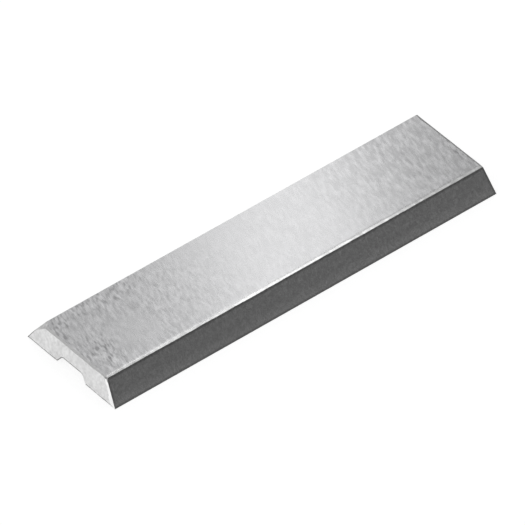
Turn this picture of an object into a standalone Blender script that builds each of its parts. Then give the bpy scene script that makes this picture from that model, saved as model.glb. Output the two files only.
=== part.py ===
# Reversible insert knife: one bar of cemented carbide with a cutting edge on each side.
# Metres, +Z up. The knife lies on its wide grooved face, as it comes to rest.
# X runs along the knife and Y across it. The origin is the middle of the underside.

import math

import bmesh
import bpy
from mathutils import Vector

MM = 0.001

# The bar
LENGTH = 20.0 * MM                       # of each cutting edge
WIDTH = 5.5 * MM                         # from one cutting edge to the other
THICKNESS = 1.1 * MM
FLANK_ANGLE = math.radians(33.0)         # each flank's lean from upright: a 57 degree wedge
END_ANGLE = math.radians(8.0)            # each end's lean, so that only the edges' corners cut

# The locating groove along the middle of the wide face
GROOVE_MOUTH = 1.8 * MM
GROOVE_DEPTH = 0.35 * MM
GROOVE_WALL_ANGLE = math.radians(38.0)   # each wall's lean from upright
GROOVE_FILLET = 0.25 * MM                # radius where a wall meets the groove's roof
FILLET_STEPS = 6

# The narrow face's edges and the four corners are broken, and the rest are left sharp
EDGE_BREAK = 0.06 * MM                   # width of the rounded break
EDGE_BREAK_STEPS = 2

# Ground carbide
KNIFE_COLOUR = (0.58, 0.58, 0.57, 1.0)
KNIFE_ROUGHNESS = 0.35


def rounded_corner(before, corner, after, radius, steps):
    # Points of the arc that rounds a corner. The radius is limited to what half of each side can hold.
    to_before = before - corner
    to_after = after - corner
    half_angle = to_before.angle(to_after) / 2
    reach = min(radius / math.tan(half_angle), to_before.length / 2, to_after.length / 2)
    arc_radius = reach * math.tan(half_angle)
    middle = (to_before.normalized() + to_after.normalized()).normalized()
    centre = corner + middle * (reach / math.cos(half_angle))
    start = corner + to_before.normalized() * reach - centre
    end = corner + to_after.normalized() * reach - centre
    return [centre + start.slerp(end, step / steps) * arc_radius for step in range(steps + 1)]


def knife_section():
    # The bar's outline across its length, as (y, z): one side, then its mirror image
    groove_middle = Vector((0, GROOVE_DEPTH))
    mouth_edge = Vector((GROOVE_MOUTH / 2, 0))
    roof_corner = mouth_edge + Vector((-GROOVE_DEPTH * math.tan(GROOVE_WALL_ANGLE), GROOVE_DEPTH))
    cutting_edge = Vector((WIDTH / 2, 0))
    back_edge = cutting_edge + Vector((-THICKNESS * math.tan(FLANK_ANGLE), THICKNESS))
    side = rounded_corner(groove_middle, roof_corner, mouth_edge, GROOVE_FILLET, FILLET_STEPS)
    side += [mouth_edge, cutting_edge, back_edge]
    return side + [Vector((-point.x, point.y)) for point in reversed(side)]


def extrude_bar(bm):
    # The section drawn out along X, longer than the knife so that both ends can be ground
    bar_length = LENGTH + THICKNESS
    outline = [bm.verts.new((-bar_length / 2, point.x, point.y)) for point in knife_section()]
    end_face = bm.faces.new(outline)
    extruded = bmesh.ops.extrude_face_region(bm, geom=[end_face])
    far_end = [item for item in extruded["geom"] if isinstance(item, bmesh.types.BMVert)]
    bmesh.ops.translate(bm, verts=far_end, vec=(bar_length, 0, 0))


def grind_end(bm, side):
    # Cuts one end off along a plane that leans in over the wide face
    cut = bmesh.ops.bisect_plane(
        bm,
        geom=[*bm.verts, *bm.edges, *bm.faces],
        plane_co=(side * LENGTH / 2, 0, 0),
        plane_no=(side * math.cos(END_ANGLE), 0, math.sin(END_ANGLE)),
        clear_outer=True,
    )
    rim = [item for item in cut["geom_cut"] if isinstance(item, bmesh.types.BMEdge)]
    bmesh.ops.contextual_create(bm, geom=rim)


def break_edges(bm):
    # Every edge that meets a corner of the narrow face: the four round it and one down each corner
    back_face = max(bm.faces, key=lambda face: face.calc_center_median().z)
    back_edges = {edge for vert in back_face.verts for edge in vert.link_edges}
    bmesh.ops.bevel(
        bm,
        geom=list(back_edges),
        offset=EDGE_BREAK,
        offset_type="WIDTH",
        segments=EDGE_BREAK_STEPS,
        profile=0.5,
        affect="EDGES",
    )


def ground_carbide():
    material = bpy.data.materials.new("ground_carbide")
    material.use_nodes = True
    shader = material.node_tree.nodes["Principled BSDF"]
    shader.inputs["Base Color"].default_value = KNIFE_COLOUR
    shader.inputs["Metallic"].default_value = 1.0
    shader.inputs["Roughness"].default_value = KNIFE_ROUGHNESS
    return material


def make_knife():
    bm = bmesh.new()
    extrude_bar(bm)
    grind_end(bm, -1)
    grind_end(bm, 1)
    break_edges(bm)
    bmesh.ops.recalc_face_normals(bm, faces=bm.faces)
    mesh = bpy.data.meshes.new("insert_knife")
    bm.to_mesh(mesh)
    bm.free()
    mesh.materials.append(ground_carbide())
    knife = bpy.data.objects.new("insert_knife", mesh)
    bpy.context.scene.collection.objects.link(knife)
    return knife


for old_object in list(bpy.data.objects):
    bpy.data.objects.remove(old_object)

make_knife()
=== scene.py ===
import math

import bmesh
import bpy
from mathutils import Matrix, Vector, noise


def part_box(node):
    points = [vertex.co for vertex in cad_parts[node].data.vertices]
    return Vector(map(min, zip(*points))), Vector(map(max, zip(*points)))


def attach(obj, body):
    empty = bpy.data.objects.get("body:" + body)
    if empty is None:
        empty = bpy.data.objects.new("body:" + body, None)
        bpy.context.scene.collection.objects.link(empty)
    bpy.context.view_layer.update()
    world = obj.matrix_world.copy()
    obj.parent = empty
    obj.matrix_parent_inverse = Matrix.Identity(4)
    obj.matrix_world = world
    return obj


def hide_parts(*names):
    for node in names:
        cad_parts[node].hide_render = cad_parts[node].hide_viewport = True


# Reversible insert knife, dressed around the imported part. Metres, +Z up.
# X runs along the knife and Y across it; the knife lies on its wide grooved face at Z = 0.

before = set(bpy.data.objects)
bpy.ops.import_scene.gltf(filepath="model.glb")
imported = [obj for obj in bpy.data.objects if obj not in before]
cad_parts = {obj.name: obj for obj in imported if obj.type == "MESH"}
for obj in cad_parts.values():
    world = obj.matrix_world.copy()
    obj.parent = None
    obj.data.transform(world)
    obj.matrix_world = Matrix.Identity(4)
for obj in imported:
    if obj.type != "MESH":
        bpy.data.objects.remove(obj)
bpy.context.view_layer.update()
mm = 0.001


# Small helpers for colours and nodes

def linearColour(hexColour):
    # sRGB hex to the linear numbers that Blender's sockets take
    channels = [int(hexColour[i:i + 2], 16) / 255 for i in (1, 3, 5)]
    linear = [c / 12.92 if c <= 0.04045 else ((c + 0.055) / 1.055) ** 2.4 for c in channels]
    return (*linear, 1.0)


def addNode(tree, kind, settings=None, links=None):
    # Settings go to the node itself or to its sockets. Links name the sockets they feed, and come
    # from a socket or from a node, which stands for its first output.
    node = tree.nodes.new(kind)
    for name, value in (settings or {}).items():
        if isinstance(name, str) and hasattr(node, name):
            setattr(node, name, value)
        else:
            node.inputs[name].default_value = value
    for name, source in (links or {}).items():
        tree.links.new(getattr(source, "outputs", [source])[0], node.inputs[name])
    return node


def newMaterial(name):
    material = bpy.data.materials.new(name)
    material.use_nodes = True
    material.node_tree.nodes.clear()
    return material, material.node_tree


# The knife's shape. Its length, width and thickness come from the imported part.

knifeShape = {
    "flankLean": 33.0,        # degrees from upright
    "endLean": 8.0,           # degrees from upright
    "grooveMouth": 1.8,       # mm
    "grooveDepth": 0.35,      # mm
    "grooveWallLean": 38.0,   # degrees from upright
    "grooveFillet": 0.25,     # mm
    "mouthBreak": 0.02,       # mm, radius that the wheel leaves at the groove's mouth
    # Broken edges between the narrow face and the flanks: almost flat, and as far in on the
    # narrow face and on the flank as these say, and at the knife's far end a share of that.
    "frontArris": (0.1, 0.026),    # mm
    "backArris": (0.022, 0.022),   # mm
    "arrisFar": {"frontArris": 1.12, "backArris": 0.2},
    # Round each end: as far along the knife as the reaches say, and as far in on the end from each
    # face as the others say, in mm. A flank has two, by the narrow face and by the cutting edge.
    # The corner by the camera is the most broken.
    "nearEnd": {"topReach": 0.06, "sideReach": 0.003, "seatReach": 0.014, "top": 0.06, "seat": 0.05,
                 "front": (0.09, 0.25), "back": (0.025, 0.025), "wander": 0.6},
    "farEnd": {"topReach": 0.085, "sideReach": 0.006, "seatReach": 0.02, "top": 0.03, "seat": 0.05,
               "front": (0.006, 0.006), "back": (0.006, 0.006), "wander": 0.25},
    # The corner at the camera's left is knocked blunt, this far along each edge that meets there
    "bluntCorner": {"backEdge": 0.34, "nearEdge": 0.34, "downCorner": 0.64},   # mm
    "crown": 0.02,            # height of a break's crown, as a share of its width
    "endStrip": 0.1,          # mm, how far from each end the break round it may reach
    "breakWander": 0.3,       # share by which a hand-broken edge varies; each end has its own
    "wanderLength": 0.55,     # mm between wide and narrow spots of the break
    "quickWander": (3.7, 0.6),      # how much quicker and how strong its smaller variation is
    "wanderSeeds": {"backArris": 1.3, "frontArris": 4.6, "ends": 9.1},
    "topZone": 0.9,           # share of the height above which topReach comes in
    "sharpFrom": 15,          # degrees between faces from which an edge looks sharp
    "stationStep": 0.1,       # mm between the cross-sections
    "breakSteps": 4,          # cross-sections in the break round an end
    # Steps along each stretch of half a cross-section
    "steps": {"roof": 5, "roofArc": 8, "wall": 3, "mouthArc": 4, "seat": 19, "flank": 8, "arris": 5,
              "clamp": 20},
}


def arcPoints(before, corner, after, radius, steps):
    # The arc that rounds a corner, from the side of before to the side of after
    toBefore, toAfter = before - corner, after - corner
    halfAngle = toBefore.angle(toAfter) / 2
    reach = min(radius / math.tan(halfAngle), toBefore.length / 2, toAfter.length / 2)
    arcRadius = reach * math.tan(halfAngle)
    centre = corner + (toBefore.normalized() + toAfter.normalized()).normalized() * (
        reach / math.cos(halfAngle))
    start = corner + toBefore.normalized() * reach - centre
    end = corner + toAfter.normalized() * reach - centre
    return [centre + start.slerp(end, i / steps) * arcRadius for i in range(steps + 1)]


def crownedBreak(start, corner, end, crown, steps):
    # A broken edge: nearly straight from start to end, and slightly proud towards the corner
    outwards = (corner - (start + end) / 2).normalized() * (end - start).length * crown
    return [start.lerp(end, i / steps) + outwards * 4 * (i / steps) * (1 - i / steps)
            for i in range(steps + 1)]


def pointsBetween(start, end, steps):
    return [start.lerp(end, i / steps) for i in range(1, steps)]


def halfSection(shape, width, thickness, insets, arrisReach):
    # One side of the cross-section from the groove's middle to the narrow face's middle,
    # and the finish of each stretch. The insets take the top, the flank's upper and lower edges
    # and the underside inwards.
    topInset, upperInset, lowerInset, seatInset = (inset * mm for inset in insets)
    lean, wallLean = math.radians(shape["flankLean"]), math.radians(shape["grooveWallLean"])
    steps, depth = shape["steps"], shape["grooveDepth"] * mm
    mouth = Vector((shape["grooveMouth"] * mm / 2, 0))
    roofMiddle = Vector((0, depth))
    roofCorner = mouth + Vector((-depth * math.tan(wallLean), depth))
    edge = Vector((width / 2, 0))
    backCorner = edge + Vector((-thickness * math.tan(lean), thickness))
    backMiddle = Vector((0, thickness))

    roof = arcPoints(roofMiddle, roofCorner, mouth, shape["grooveFillet"] * mm, steps["roofArc"])
    mouthArc = arcPoints(roofCorner, mouth, edge, shape["mouthBreak"] * mm, steps["mouthArc"])
    raised = Vector((0, seatInset))
    roofMiddle, roof, mouthArc = (
        roofMiddle + raised, [point + raised for point in roof], [point + raised for point in mouthArc])
    edge += Vector((-lowerInset / math.cos(lean) - seatInset * math.tan(lean), seatInset))
    backMiddle -= Vector((0, topInset))
    backCorner += Vector((topInset * math.tan(lean) - upperInset / math.cos(lean), -topInset))
    downFlank = (edge - backCorner).normalized()
    arris = crownedBreak(backCorner + downFlank * arrisReach[1], backCorner,
                         backCorner - Vector((arrisReach[0], 0)), shape["crown"], steps["arris"])

    points = [roofMiddle] + pointsBetween(roofMiddle, roof[0], steps["roof"]) + roof
    points += pointsBetween(roof[-1], mouthArc[0], steps["wall"]) + mouthArc
    finishes = ["groove"] * (len(points) - 1)
    points += pointsBetween(mouthArc[-1], edge, steps["seat"]) + [edge]
    points += pointsBetween(edge, arris[0], steps["flank"]) + arris
    points += pointsBetween(arris[-1], backMiddle, steps["clamp"]) + [backMiddle]
    for finish in ("seat", "flank", "arris", "clamp"):
        finishes += [finish] * steps[finish]
    return points, finishes


def wander(shape, share, place, seed):
    # A slow and a quick variation of the broken edge's width about 1
    spot = place / (shape["wanderLength"] * mm)
    rate, strength = shape["quickWander"]
    slow = noise.noise(Vector((spot, seed, 0.5)))
    quick = noise.noise(Vector((spot * rate, seed, 7.5)))
    return 1 + share * (slow + strength * quick)


def buildKnife(shape, finishNames):
    low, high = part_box("insert_knife")
    length, width, thickness = high - low
    lean = math.tan(math.radians(shape["endLean"]))
    ends, seeds = {-1: shape["nearEnd"], 1: shape["farEnd"]}, shape["wanderSeeds"]
    unbroken = {"top": 0.0, "seat": 0.0, "front": (0.0, 0.0), "back": (0.0, 0.0)}

    def outline(end, arrisReaches):
        halves = [halfSection(shape, width, thickness, (end["top"], *end[side], end["seat"]), reach)
                  for side, reach in zip(("back", "front"), arrisReaches)]
        mirrored = [Vector((-p.x, p.y)) for p in reversed(halves[1][0])][1:-1]
        return halves[0][0] + mirrored, halves[0][1] + halves[1][1][::-1]

    # Stations along the knife: one broken end, the plain body, then the other broken end
    breakSteps = shape["breakSteps"]
    bodyEnd = length / 2 - shape["endStrip"] * mm
    bodyCount = round(2 * bodyEnd / (shape["stationStep"] * mm))
    stations = [(-1, step / breakSteps) for step in range(breakSteps, -1, -1)]
    stations += [(0, 2 * bodyEnd * i / bodyCount - bodyEnd) for i in range(1, bodyCount)]
    stations += [(1, step / breakSteps) for step in range(breakSteps + 1)]

    bm = bmesh.new()
    rings = []
    for side, place in stations:
        middle = side * bodyEnd if side else place
        reaches = []
        for arris in ("backArris", "frontArris"):
            share = 1 + (shape["arrisFar"][arris] - 1) * (middle / length + 0.5)
            share *= wander(shape, shape["breakWander"], middle, seeds[arris])
            reaches.append([reach * mm * share for reach in shape[arris]])
        plain, finishes = outline(unbroken, reaches)
        inner = outline(ends[side], reaches)[0] if side else plain
        ring = []
        for number, (outer, inset) in enumerate(zip(plain, inner)):
            x, point = place, outer
            if side:
                # The break round the end varies too, and reaches furthest along the narrow face
                topShare = max(0, (outer.y / thickness - shape["topZone"]) / (1 - shape["topZone"]))
                atSeat = finishes[number] in ("seat", "groove") and finishes[number - 1] != "flank"
                lowReach = ends[side]["seatReach" if atSeat else "sideReach"]
                reach = lowReach * (1 - topShare) + ends[side]["topReach"] * topShare
                local = wander(shape, ends[side]["wander"], outer.x + outer.y, seeds["ends"] + side)
                proud = 2 * shape["crown"] * place * (1 - place)
                x = side * (length / 2 - reach * mm * local * (1 - place - proud))
                point = outer.lerp(inset, (place - proud) * local)
            x -= x / (length / 2) * point.y * lean
            ring.append(bm.verts.new((x, point.x, point.y)))
        rings.append(ring)

    def paint(face, finish):
        face.material_index = finishNames.index(finish)
        face.smooth = True

    for number, (near, far) in enumerate(zip(rings, rings[1:])):
        atNearEnd, atFarEnd = number < breakSteps, number >= len(rings) - breakSteps - 1
        for index, finish in enumerate(finishes):
            after = (index + 1) % len(near)
            face = bm.faces.new((near[index], near[after], far[after], far[index]))
            atBack = index < len(finishes) / 2
            # These strips get the thin line of painted shade
            shadedLine = finish in ("seat", "groove") or finish == "flank" and (atBack or atFarEnd)
            if shadedLine and (atNearEnd or atFarEnd):
                finish = "paintedShadeLine"
            elif atNearEnd or atFarEnd:
                # The far end's upper strip is greyed with painted shade; the other end strips get the
                # bright break
                finish = "shadedBreak" if atFarEnd and finish == "clamp" else "break"
            paint(face, finish)
    edgeAt = finishes.index("flank")
    for ring in (rings[0], rings[-1]):
        for corners in endTriangles(ring, edgeAt):
            paint(bm.faces.new(corners), "end")
    # The knocked corner's face gets the same painted shade
    for face in bluntCorner(bm, shape, width, thickness, length):
        paint(face, "shadedBreak")
    bmesh.ops.recalc_face_normals(bm, faces=bm.faces)
    addMarkMap(bm, finishNames)

    mesh = bpy.data.meshes.new("groundKnife")
    bm.to_mesh(mesh)
    bm.free()
    mesh.set_sharp_from_angle(angle=math.radians(shape["sharpFrom"]))
    piece = bpy.data.objects.new("groundKnife", mesh)
    bpy.context.scene.collection.objects.link(piece)
    weighted = piece.modifiers.new("flatFaces", "WEIGHTED_NORMAL")
    weighted.keep_sharp = True
    weighted.weight = 100
    return piece


def endTriangles(ring, edgeAt):
    # The end face, filled between its lower outline with the groove and its upper outline,
    # which both run from one cutting edge to the other
    lower = ring[edgeAt::-1] + ring[:-edgeAt - 1:-1]
    upper = ring[edgeAt:len(ring) - edgeAt + 1]
    triangles = []
    i = j = 0
    while i < len(lower) - 1 or j < len(upper) - 1:
        takeLower = j == len(upper) - 1 or (
            i < len(lower) - 1 and lower[i + 1].co.y > upper[j + 1].co.y)
        third = lower[i + 1] if takeLower else upper[j + 1]
        corners = (lower[i], upper[j], third)
        if len(set(corners)) == 3:
            triangles.append(corners)
        i, j = (i + 1, j) if takeLower else (i, j + 1)
    return triangles


def bluntCorner(bm, shape, width, thickness, length):
    # Cuts the near back corner off along a plane, and gives back the face that closes it
    legs = shape["bluntCorner"]
    inwards = thickness * math.tan(math.radians(shape["flankLean"]))
    along = thickness * math.tan(math.radians(shape["endLean"]))
    corner = Vector((along - length / 2, width / 2 - inwards, thickness))
    foot = Vector((-length / 2, width / 2, 0))
    places = [corner + Vector((legs["backEdge"] * mm, 0, 0)),
              corner - Vector((0, legs["nearEdge"] * mm, 0)),
              corner + (foot - corner).normalized() * legs["downCorner"] * mm]
    outwards = (places[0] - places[1]).cross(places[2] - places[1]).normalized()
    cut = bmesh.ops.bisect_plane(bm, geom=[*bm.verts, *bm.edges, *bm.faces], plane_co=places[0],
                                 plane_no=outwards, clear_outer=True)
    rim = [item for item in cut["geom_cut"] if isinstance(item, bmesh.types.BMEdge)]
    return bmesh.ops.contextual_create(bm, geom=rim)["faces"]


def addMarkMap(bm, finishNames):
    # A map whose U runs along the grinding marks, for the metal's stretched highlights
    marks = bm.loops.layers.uv.new("marks")
    for face in bm.faces:
        finish = finishNames[face.material_index]
        for loop in face.loops:
            x, y, z = loop.vert.co / mm
            if finish == "groove":
                loop[marks].uv = (x, y)
            elif finish in ("flank", "end"):
                loop[marks].uv = (y + z, x)
            else:
                loop[marks].uv = (y, x)


# Cemented tungsten carbide. Every face is the same metal-like grey, and each is ground in its
# own way, which gives the eye its marks, its gloss and how far its highlights stretch. Some strips,
# patches and bands are greyer or paler as painted light and shade.

# What all of them share. A range of noise says from where to where a mark, smudge or pit comes in,
# and places are in mm from the middle of the knife's underside.
groundLook = {
    "markNoise": (0.64, 0.36),
    "smudgeNoise": (0.66, 0.36),
    "pitNoise": (0.52, 0.28),
    "pitDarkness": (-0.32, 0.63),     # between the pits, and in their floors
    "glossNoise": (0.35, 0.65),
    # Where each noise starts, so that none repeats another
    "starts": {"fine": (0, 0, 0), "coarse": (3.1, 7.7, 1.9), "smudge": (4.4, 6.1, 2.7),
               "pit": (8.3, 2.2, 5.4)},
    "coarseSize": 2.4,                # of the coarser marks, in those of the finer
    "coarseShare": 0.55,
    "coarseComesIn": (3.0, 7.0),      # x from where to where the far end's share does
    "pitSize": 1.15,                  # in marks
    "pitLength": 0.9,                 # in a mark's length
    "patchFade": (1.0, 0.3),          # how far out a scarred or rubbed patch starts and is full
    "patchHeight": 1.1,               # z of the narrow face, which has them
    "scarredElsewhere": 0.2,
    "unscarredDarkness": 0.92,
    "scarredDarkness": 0.25,          # added by a full scar
    "rubbedDarkness": 0.42,
    "sheenAndWearMiddle": 0.8,             # x of the least worn place, kept paler also as a painted highlight
    "sheenAndWearReach": (2.0, 7.0),         # from there to where the darkening towards the ends starts and is full
    "flankMiddle": 0.535,             # z
    "flankEdges": (0.43, 0.49),       # from there to where the painted shade along the edges starts and is full
    "flankEnds": (9.87, 9.93),        # x of the same at its ends, at the underside
    "endSlope": 0.14,                 # how much nearer they are for each mm up, as the ends lean
    "flankEndShare": 0.8,             # of the shade there
    "foot": (0.45, 0.1),              # z where the painted light towards the cutting edge starts and is full
}

# What a finish has unless it says otherwise
plainFinish = {
    "anisotropic": 0.0,       # how far its highlights stretch
    "marksAlong": "y",        # the axis that the marks run along
    "markLean": 0,            # degrees
    "coarseFar": groundLook["coarseShare"],   # share of the coarser marks at the far end
    "pits": 0.0,              # how much the deeper marks tell
    "middleShare": 1.0,       # share of all marks and smudges that the knife's middle shows; a low share keeps it paler, partly for less wear and partly as painted highlight
    "edgeShade": 0.0,         # painted shade along a flank's edges
    "paintedFootLight": 0.0,          # painted light towards the cutting edge, for light that the floor throws back
    "scars": {}, "rubbed": {},
}

# Sizes are in mm: a mark's width, length and depth, and a smudge's width
carbideFinishes = {
    # Narrow face, ground across by the rim of a cup wheel: satin, short marks, smudged
    "clamp": {
        "material": "surfaceGroundCarbide",
        "pale": "#CBCBCC", "dark": "#ADADAE", "roughness": 0.27, "anisotropic": 0.2,
        "markLean": -13, "markWidth": 0.09, "markLength": 0.28, "markDepth": 0.0006,
        "marks": 0.72, "smudgeSize": 0.26, "smudges": 0.58, "roughWander": 0.03, "pits": 1.08,
        # Its middle shows few marks and smudges: partly less wear, partly painted highlight under the
        # bright band
        "middleShare": 0.16, "coarseFar": 0.85,
        # Where clamping and handling scarred it: x, y, half length, half width in mm, and how much. The
        # patch at the far edge is painted shade instead.
        "scars": {"backEdge": (-7.1, 1.9, 3.6, 1.2, 0.75), "nearCorner": (-8.9, -0.8, 1.0, 1.8, 0.9),
                  # The patch at the far edge is painted shade: the darker line along that edge, which
                  # mirrors dark surroundings
                  "nearEdge": (-9.8, 0.2, 0.5, 2.5, 0.8), "farEdgeShade": (9.8, -0.6, 0.5, 1.9, 0.9),
                  "farMiddle": (7.8, 0.3, 1.7, 1.5, 0.25), "nearMiddle": (-4.2, 0.5, 1.9, 2.2, 0.55),
                  "backCorner": (-9.4, 1.6, 0.9, 0.8, 0.9)},
        # And where it was rubbed smooth
        "rubbed": {"nearMiddle": (-7.2, -0.7, 1.5, 1.6, 0.55)},
    },
    # Flanks, finish ground up to the cutting edge by a fine wheel: smooth and even
    "flank": {
        "material": "fineGroundCarbide",
        "pale": "#D0D0D0", "dark": "#B4B4B4", "roughness": 0.20, "anisotropic": 0.2,
        "markWidth": 0.05, "markLength": 0.07, "markDepth": 0.0002,
        "marks": 1.15, "smudgeSize": 0.36, "smudges": 0.2, "roughWander": 0.02,
        # Painted shade along its edges, and painted light towards its cutting edge
        "edgeShade": 1.15, "paintedFootLight": 0.6,
    },
    # Ends, cut and ground square-on: pale, finely speckled
    "end": {
        "material": "endGroundCarbide",
        "pale": "#D2D2D2", "dark": "#B6B6B6", "roughness": 0.34, "anisotropic": 0.15,
        "markWidth": 0.07, "markLength": 0.16, "markDepth": 0.0008,
        "marks": 0.5, "smudgeSize": 0.12, "smudges": 0.5, "roughWander": 0.08, "pits": 0.3,
    },
    # Wide face, lapped for the cutting edges: the smoothest
    "seat": {
        "material": "lappedCarbide",
        "pale": "#CACACA", "dark": "#BCBCBC", "roughness": 0.16, "anisotropic": 0.1,
        "markLean": 12, "markWidth": 0.05, "markLength": 1.0, "markDepth": 0.0002,
        "marks": 0.5, "smudgeSize": 0.5, "smudges": 0.3, "roughWander": 0.05,
    },
    # Groove, form ground along the knife: long marks, duller
    "groove": {
        "material": "formGroundCarbide",
        "pale": "#BEBEBE", "dark": "#A6A6A6", "roughness": 0.38, "anisotropic": 0.4,
        "marksAlong": "x", "markWidth": 0.06, "markLength": 2.0, "markDepth": 0.0008,
        "marks": 0.7, "smudgeSize": 0.3, "smudges": 0.4, "roughWander": 0.08, "pits": 0.3,
    },
    # The narrow face's long edges, broken with a fine stone: paler in the middle and darker towards the
    # ends, which is painted highlight
    "arris": {
        "material": "honedArrisCarbide",
        "pale": "#D6D6D6", "dark": "#BABABA", "roughness": 0.22,
        "markWidth": 0.12, "markLength": 0.1, "markDepth": 0.0004,
        "marks": 0.4, "smudgeSize": 0.6, "smudges": 0.7, "roughWander": 0.06, "middleShare": 0.2,
    },
    # The ends' edges and corners, stoned: bright and smooth
    "break": {
        "material": "stonedCarbide",
        "pale": "#E4E4E4", "dark": "#D2D2D2", "roughness": 0.22,
        "markWidth": 0.05, "markLength": 0.1, "markDepth": 0.0004,
        "marks": 0.4, "smudgeSize": 0.2, "smudges": 0.3, "roughWander": 0.06,
    },
    # The far end's upper edge and the knocked corner: a soft grey, which is painted shade for the darker
    # surroundings that they mirror
    "shadedBreak": {
        "material": "shadedBreakCarbide",
        "pale": "#C8C8C8", "dark": "#A6A6A6", "roughness": 0.3,
        "markWidth": 0.06, "markLength": 0.1, "markDepth": 0.0006,
        "marks": 0.7, "smudgeSize": 0.25, "smudges": 0.5, "roughWander": 0.06,
    },
    # The ends' lower edges, and the flanks' strips at the back and far ends: a thin, darker line, which
    # is painted shade for the dark contact that they mirror
    "paintedShadeLine": {
        "material": "paintedShadeLineCarbide",
        "pale": "#8C8C8C", "dark": "#6A6A6A", "roughness": 0.45,
        "markWidth": 0.05, "markLength": 0.08, "markDepth": 0.001,
        "marks": 0.7, "smudgeSize": 0.15, "smudges": 0.7, "roughWander": 0.06,
    },
}


def carbide(finish, look):
    material, tree = newMaterial(finish["material"])
    place = addNode(tree, "ShaderNodeTexCoord").outputs["Object"]
    lengthwise, _, height = addNode(tree, "ShaderNodeSeparateXYZ", None, {0: place}).outputs
    width, length = finish["markWidth"] * mm, finish["markLength"] * mm

    def drawnOut(name, sizeScale, detail=2.0, lengthShare=1.0):
        # Noise drawn out along the grinding marks, which lean across the face
        long = max(width, length * lengthShare)
        markSize = (width, long, long) if finish["marksAlong"] == "y" else (long, width, width)
        where = addNode(tree, "ShaderNodeMapping", {
            "vector_type": "TEXTURE", "Location": tuple(c * mm for c in look["starts"][name]),
            "Rotation": (0, 0, math.radians(finish["markLean"])),
            "Scale": tuple(size * sizeScale for size in markSize)}, {"Vector": place})
        return addNode(tree, "ShaderNodeTexNoise", {
            "Scale": 1.0, "Detail": detail, "Roughness": 0.55}, {"Vector": where})

    def patches(spots, elsewhere):
        # How far each place is in any of the spots, which fade out round their middles
        most = addNode(tree, "ShaderNodeMath", {"operation": "ADD", 0: 0.0, 1: elsewhere})
        for x, y, halfLength, halfWidth, amount in spots.values():
            within = addNode(tree, "ShaderNodeMapping", {
                "vector_type": "TEXTURE", "Location": (x * mm, y * mm, look["patchHeight"] * mm),
                "Scale": (halfLength * mm, halfWidth * mm, mm)}, {"Vector": place})
            away = addNode(tree, "ShaderNodeVectorMath", {"operation": "LENGTH"}, {0: within})
            share = addNode(tree, "ShaderNodeMapRange", {
                "interpolation_type": "SMOOTHSTEP", "From Min": look["patchFade"][0],
                "From Max": look["patchFade"][1], "To Max": amount}, {"Value": away.outputs["Value"]})
            most = addNode(tree, "ShaderNodeMath", {"operation": "MAXIMUM"}, {0: most, 1: share})
        return most

    # The wheel's marks, finer and coarser ones
    coarseShare = addNode(tree, "ShaderNodeMapRange", {
        "From Min": look["coarseComesIn"][0] * mm, "From Max": look["coarseComesIn"][1] * mm,
        "To Min": look["coarseShare"], "To Max": finish["coarseFar"]}, {"Value": lengthwise})
    marks = addNode(tree, "ShaderNodeMix", {"data_type": "FLOAT"}, {
        0: coarseShare, 2: drawnOut("fine", 1.0), 3: drawnOut("coarse", look["coarseSize"])})

    # How dark each place is: where smudges and deep marks meet
    smudged = addNode(tree, "ShaderNodeMapRange", {
        "From Min": look["smudgeNoise"][0], "From Max": look["smudgeNoise"][1],
        "To Max": finish["smudges"]}, {
        "Value": drawnOut("smudge", finish["smudgeSize"] / finish["markWidth"] / 2)})
    marked = addNode(tree, "ShaderNodeMapRange", {
        "From Min": look["markNoise"][0], "From Max": look["markNoise"][1],
        "To Max": finish["marks"]}, {"Value": marks})
    darkness = addNode(tree, "ShaderNodeMath", {"operation": "ADD", "use_clamp": True}, {
        0: smudged, 1: marked})

    # Pits, most of them where the face is scarred
    scarring, rubbing = patches(finish["scars"], look["scarredElsewhere"]), patches(finish["rubbed"], 0.0)
    pitted = addNode(tree, "ShaderNodeMapRange", {
        "From Min": look["pitNoise"][0], "From Max": look["pitNoise"][1],
        "To Min": look["pitDarkness"][0] * finish["pits"],
        "To Max": look["pitDarkness"][1] * finish["pits"]}, {
        "Value": drawnOut("pit", look["pitSize"], 0.0, look["pitLength"])})
    darkness = addNode(tree, "ShaderNodeMath", {"operation": "MULTIPLY_ADD"}, {
        0: pitted, 1: scarring, 2: darkness})
    deeper = addNode(tree, "ShaderNodeMath", {
        "operation": "MULTIPLY_ADD", 1: look["scarredDarkness"], 2: look["unscarredDarkness"]}, {
        0: scarring})
    darkness = addNode(tree, "ShaderNodeMath", {"operation": "MULTIPLY"}, {0: darkness, 1: deeper})
    darkness = addNode(tree, "ShaderNodeMix", {"data_type": "FLOAT", 3: look["rubbedDarkness"]}, {
        0: rubbing, 2: darkness})

    # Marks and smudges tell more towards the knife's ends: partly from handling and the wheel's run-out,
    # and partly as painted highlight, since the middle is kept paler where the softboxes' highlights fall
    offMiddle = addNode(tree, "ShaderNodeMath", {
        "operation": "SUBTRACT", 1: look["sheenAndWearMiddle"] * mm}, {0: lengthwise})
    fromMiddle = addNode(tree, "ShaderNodeMath", {"operation": "ABSOLUTE"}, {0: offMiddle})
    wearAndSheenEndwards = addNode(tree, "ShaderNodeMapRange", {
        "From Min": look["sheenAndWearReach"][0] * mm, "From Max": look["sheenAndWearReach"][1] * mm,
        "To Min": finish["middleShare"]}, {"Value": fromMiddle})
    darkness = addNode(tree, "ShaderNodeMath", {"operation": "MULTIPLY"}, {0: darkness, 1: wearAndSheenEndwards})

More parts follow.
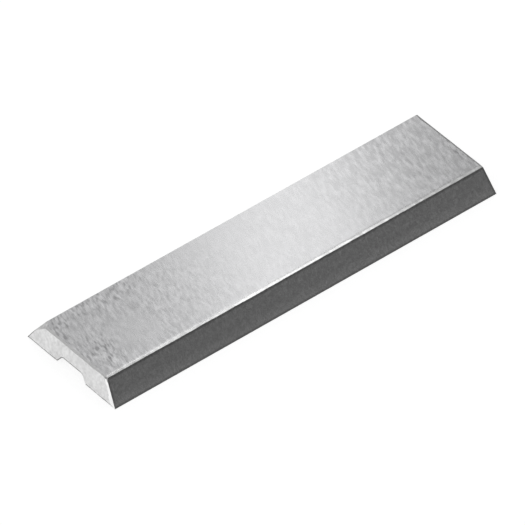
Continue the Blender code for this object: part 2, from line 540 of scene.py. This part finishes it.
    # Painted shade along all of a flank's edges: a darker line inside each of them
    offCentre = addNode(tree, "ShaderNodeMath", {
        "operation": "SUBTRACT", 1: look["flankMiddle"] * mm}, {0: height})
    towardsEdge = addNode(tree, "ShaderNodeMath", {"operation": "ABSOLUTE"}, {0: offCentre})
    edgeShade = addNode(tree, "ShaderNodeMapRange", {
        "From Min": look["flankEdges"][0] * mm, "From Max": look["flankEdges"][1] * mm,
        "To Max": finish["edgeShade"]}, {"Value": towardsEdge})
    offEnds = addNode(tree, "ShaderNodeMath", {"operation": "ABSOLUTE"}, {0: lengthwise})
    towardsEnd = addNode(tree, "ShaderNodeMath", {"operation": "MULTIPLY_ADD", 1: look["endSlope"]}, {
        0: height, 2: offEnds})
    endShade = addNode(tree, "ShaderNodeMapRange", {
        "From Min": look["flankEnds"][0] * mm, "From Max": look["flankEnds"][1] * mm,
        "To Max": finish["edgeShade"] * look["flankEndShare"]}, {"Value": towardsEnd})
    shade = addNode(tree, "ShaderNodeMath", {"operation": "MAXIMUM"}, {0: edgeShade, 1: endShade})
    darkness = addNode(tree, "ShaderNodeMath", {"operation": "ADD"}, {0: darkness, 1: shade})

    # Painted light: paler towards the cutting edge, for the light that the floor throws back onto the
    # flank
    paler = addNode(tree, "ShaderNodeMapRange", {
        "From Min": look["foot"][0] * mm, "From Max": look["foot"][1] * mm,
        "To Max": finish["paintedFootLight"]}, {"Value": height})
    darkness = addNode(tree, "ShaderNodeMath", {"operation": "SUBTRACT"}, {0: darkness, 1: paler})

    colour = addNode(tree, "ShaderNodeMix", {
        "data_type": "RGBA", "clamp_factor": False, 6: linearColour(finish["pale"]),
        7: linearColour(finish["dark"])}, {0: darkness})
    rough = addNode(tree, "ShaderNodeMapRange", {
        "From Min": look["glossNoise"][0], "From Max": look["glossNoise"][1],
        "To Min": finish["roughness"] + finish["roughWander"] / 2,
        "To Max": finish["roughness"] - finish["roughWander"] / 2}, {"Value": marks})
    relief = addNode(tree, "ShaderNodeMath", {"operation": "MULTIPLY"}, {0: marks, 1: wearAndSheenEndwards})
    bump = addNode(tree, "ShaderNodeBump", {
        "Strength": 1.0, "Distance": finish["markDepth"] * mm}, {"Height": relief})
    tangent = addNode(tree, "ShaderNodeTangent", {"direction_type": "UV_MAP", "uv_map": "marks"})
    shader = addNode(tree, "ShaderNodeBsdfPrincipled", {
        "Metallic": 1.0, "Anisotropic": finish["anisotropic"]}, {
        "Base Color": colour.outputs[2], "Roughness": rough, "Normal": bump, "Tangent": tangent})
    addNode(tree, "ShaderNodeOutputMaterial", None, {"Surface": shader})
    return material


finishNames = list(carbideFinishes)
knifePiece = buildKnife(knifeShape, finishNames)
for finishName in finishNames:
    finish = {**plainFinish, **carbideFinishes[finishName]}
    knifePiece.data.materials.append(carbide(finish, groundLook))
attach(knifePiece, "root")
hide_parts("insert_knife")
print("knife:", len(knifePiece.data.polygons), "faces")


# Floor: matt white card. It shows white to the camera and to the metal, and keeps the shadow.

floorCard = {
    "halfSize": 2.0,          # m
    "colour": "#C4C4C4",
    # White that the camera and the metal see beside the lit card, which is over-exposed
    "cameraGlow": 0.72,
    "metalGlow": 0.97,
}


def makeFloor(card):
    half = card["halfSize"]
    mesh = bpy.data.meshes.new("floorCard")
    mesh.from_pydata([(-half, -half, 0), (half, -half, 0), (half, half, 0), (-half, half, 0)], [],
                     [(0, 1, 2, 3)])
    material, tree = newMaterial("mattCard")
    path = addNode(tree, "ShaderNodeLightPath")
    mirrored = addNode(tree, "ShaderNodeMath", {"operation": "ADD", "use_clamp": True}, {
        0: path.outputs["Is Glossy Ray"], 1: path.outputs["Is Transmission Ray"]})
    mirrored = addNode(tree, "ShaderNodeMath", {"operation": "MULTIPLY", 1: card["metalGlow"]}, {
        0: mirrored})
    glow = addNode(tree, "ShaderNodeMix", {"data_type": "FLOAT", 3: card["cameraGlow"]}, {
        0: path.outputs["Is Camera Ray"], 2: mirrored})
    diffuse = addNode(tree, "ShaderNodeBsdfDiffuse", {"Color": linearColour(card["colour"])})
    white = addNode(tree, "ShaderNodeEmission", {"Color": (1, 1, 1, 1)}, {"Strength": glow})
    both = addNode(tree, "ShaderNodeAddShader", None, {0: diffuse, 1: white})
    addNode(tree, "ShaderNodeOutputMaterial", None, {"Surface": both})
    mesh.materials.append(material)
    floor = bpy.data.objects.new("floorCard", mesh)
    bpy.context.scene.collection.objects.link(floor)
    return floor


makeFloor(floorCard)
print("floor")


# Studio: a pale tent overhead, a dim room beyond the card's edge, and softboxes and a reflector.

studio = {
    "tentLevel": 0.60,
    "roomLevel": 0.193,
    "tentTilt": 25.0,         # degrees by which the tent leans to the back
    "roomTop": 6.0,           # degrees above the tent's own horizon, below which the room is dim
    "tentFoot": 50.0,         # degrees above it, from where the tent is at its level
}


def makeWorld(tent):
    world = bpy.data.worlds.new("tent")
    bpy.context.scene.world = world
    world.use_nodes = True
    tree = world.node_tree
    tree.nodes.clear()
    way = addNode(tree, "ShaderNodeTexCoord").outputs["Generated"]
    tilt = math.radians(tent["tentTilt"])
    height = addNode(tree, "ShaderNodeVectorMath", {
        "operation": "DOT_PRODUCT", 1: (0, math.sin(tilt), math.cos(tilt))}, {0: way}).outputs["Value"]
    level = addNode(tree, "ShaderNodeMapRange", {
        "interpolation_type": "SMOOTHSTEP",
        "From Min": math.sin(math.radians(tent["roomTop"])),
        "From Max": math.sin(math.radians(tent["tentFoot"])),
        "To Min": tent["roomLevel"], "To Max": tent["tentLevel"]}, {"Value": height})
    path = addNode(tree, "ShaderNodeLightPath")
    strength = addNode(tree, "ShaderNodeMix", {"data_type": "FLOAT", 3: 1.0}, {
        0: path.outputs["Is Camera Ray"], 2: level})
    light = addNode(tree, "ShaderNodeBackground", {"Color": (1, 1, 1, 1)}, {"Strength": strength})
    addNode(tree, "ShaderNodeOutputWorld", None, {"Surface": light})


lamps = {
    # Narrow softbox that the narrow face mirrors as a bright band across its middle
    "bandBox": {"towards": (0.480, 0.557, 0.678), "distance": 60, "offset": (1.6, 0, 0),
                "size": (7.7, 50), "level": 0.91, "turn": -32},
    # Dimmer one beside it, for the even tone towards the near end
    "nearBox": {"towards": (0.480, 0.557, 0.678), "distance": 60, "offset": (-12.0, 0, 0),
                "size": (12, 34), "level": 0.18},
    # Softbox overhead that the arris mirrors
    "topBox": {"towards": (0.480, 0.20, 0.855), "distance": 75, "offset": (-1.65, 0, 0),
               "size": (9.3, 18), "level": 1.35},
    # Dimmer one beside it, for the arris's far end
    "farBox": {"towards": (0.480, 0.20, 0.855), "distance": 75, "offset": (7.6, 0, 0),
               "size": (9, 18), "level": 0.07},
    # Reflector at the camera's left that the near corner mirrors
    "leftBox": {"towards": (-0.905, -0.35, 0.22), "distance": 90, "offset": (-10, 0, 0),
                "size": (60, 40), "level": 1.6},
}


def makeLamp(name, lamp):
    data = bpy.data.lights.new(name, "AREA")
    data.shape = "RECTANGLE"
    data.size, data.size_y = (side * mm for side in lamp["size"])
    data.energy = lamp["level"] * 4 * data.size * data.size_y
    lampObject = bpy.data.objects.new(name, data)
    way = Vector(lamp["towards"]).normalized()
    lampObject.location = Vector(lamp["offset"]) * mm + way * lamp["distance"] * mm
    # Its own X stays as near as it can to the knife's length
    side = (Vector((1, 0, 0)) - way * way.x).normalized()
    side.rotate(Matrix.Rotation(math.radians(lamp.get("turn", 0)), 3, way))
    upright = way.cross(side)
    lampObject.rotation_euler = Matrix((side, upright, way)).transposed().to_euler()
    bpy.context.scene.collection.objects.link(lampObject)
    lampObject.visible_camera = False


makeWorld(studio)
for lampName, lampSettings in lamps.items():
    makeLamp(lampName, lampSettings)
bpy.context.scene.view_settings.view_transform = "Standard"
print("light")


# Camera, as fitted to the photograph's edges

view = {
    "azimuth": -40.438, "elevation": 42.547, "roll": 0.628,   # degrees
    "distance": 442.6, "right": -0.0481, "up": 0.0846,        # mm
    "lens": 755.1, "sensor": 36.0,                            # mm
}


def makeCamera(shot):
    azimuth, elevation = math.radians(shot["azimuth"]), math.radians(shot["elevation"])
    back = Vector((math.sin(azimuth) * math.cos(elevation),
                   -math.cos(azimuth) * math.cos(elevation), math.sin(elevation)))
    right = Vector((math.cos(azimuth), math.sin(azimuth), 0))
    turn = Matrix.Rotation(math.radians(shot["roll"]), 3, back)
    right, up = turn @ right, turn @ back.cross(right)
    data = bpy.data.cameras.new("camera")
    data.lens, data.sensor_width = shot["lens"], shot["sensor"]
    data.clip_start, data.clip_end = 0.01, 5.0
    camera = bpy.data.objects.new("camera", data)
    camera.location = (back * shot["distance"] + right * shot["right"] + up * shot["up"]) * mm
    camera.rotation_euler = Matrix((right, up, back)).transposed().to_euler()
    bpy.context.scene.collection.objects.link(camera)
    bpy.context.scene.camera = camera


makeCamera(view)
print("camera")
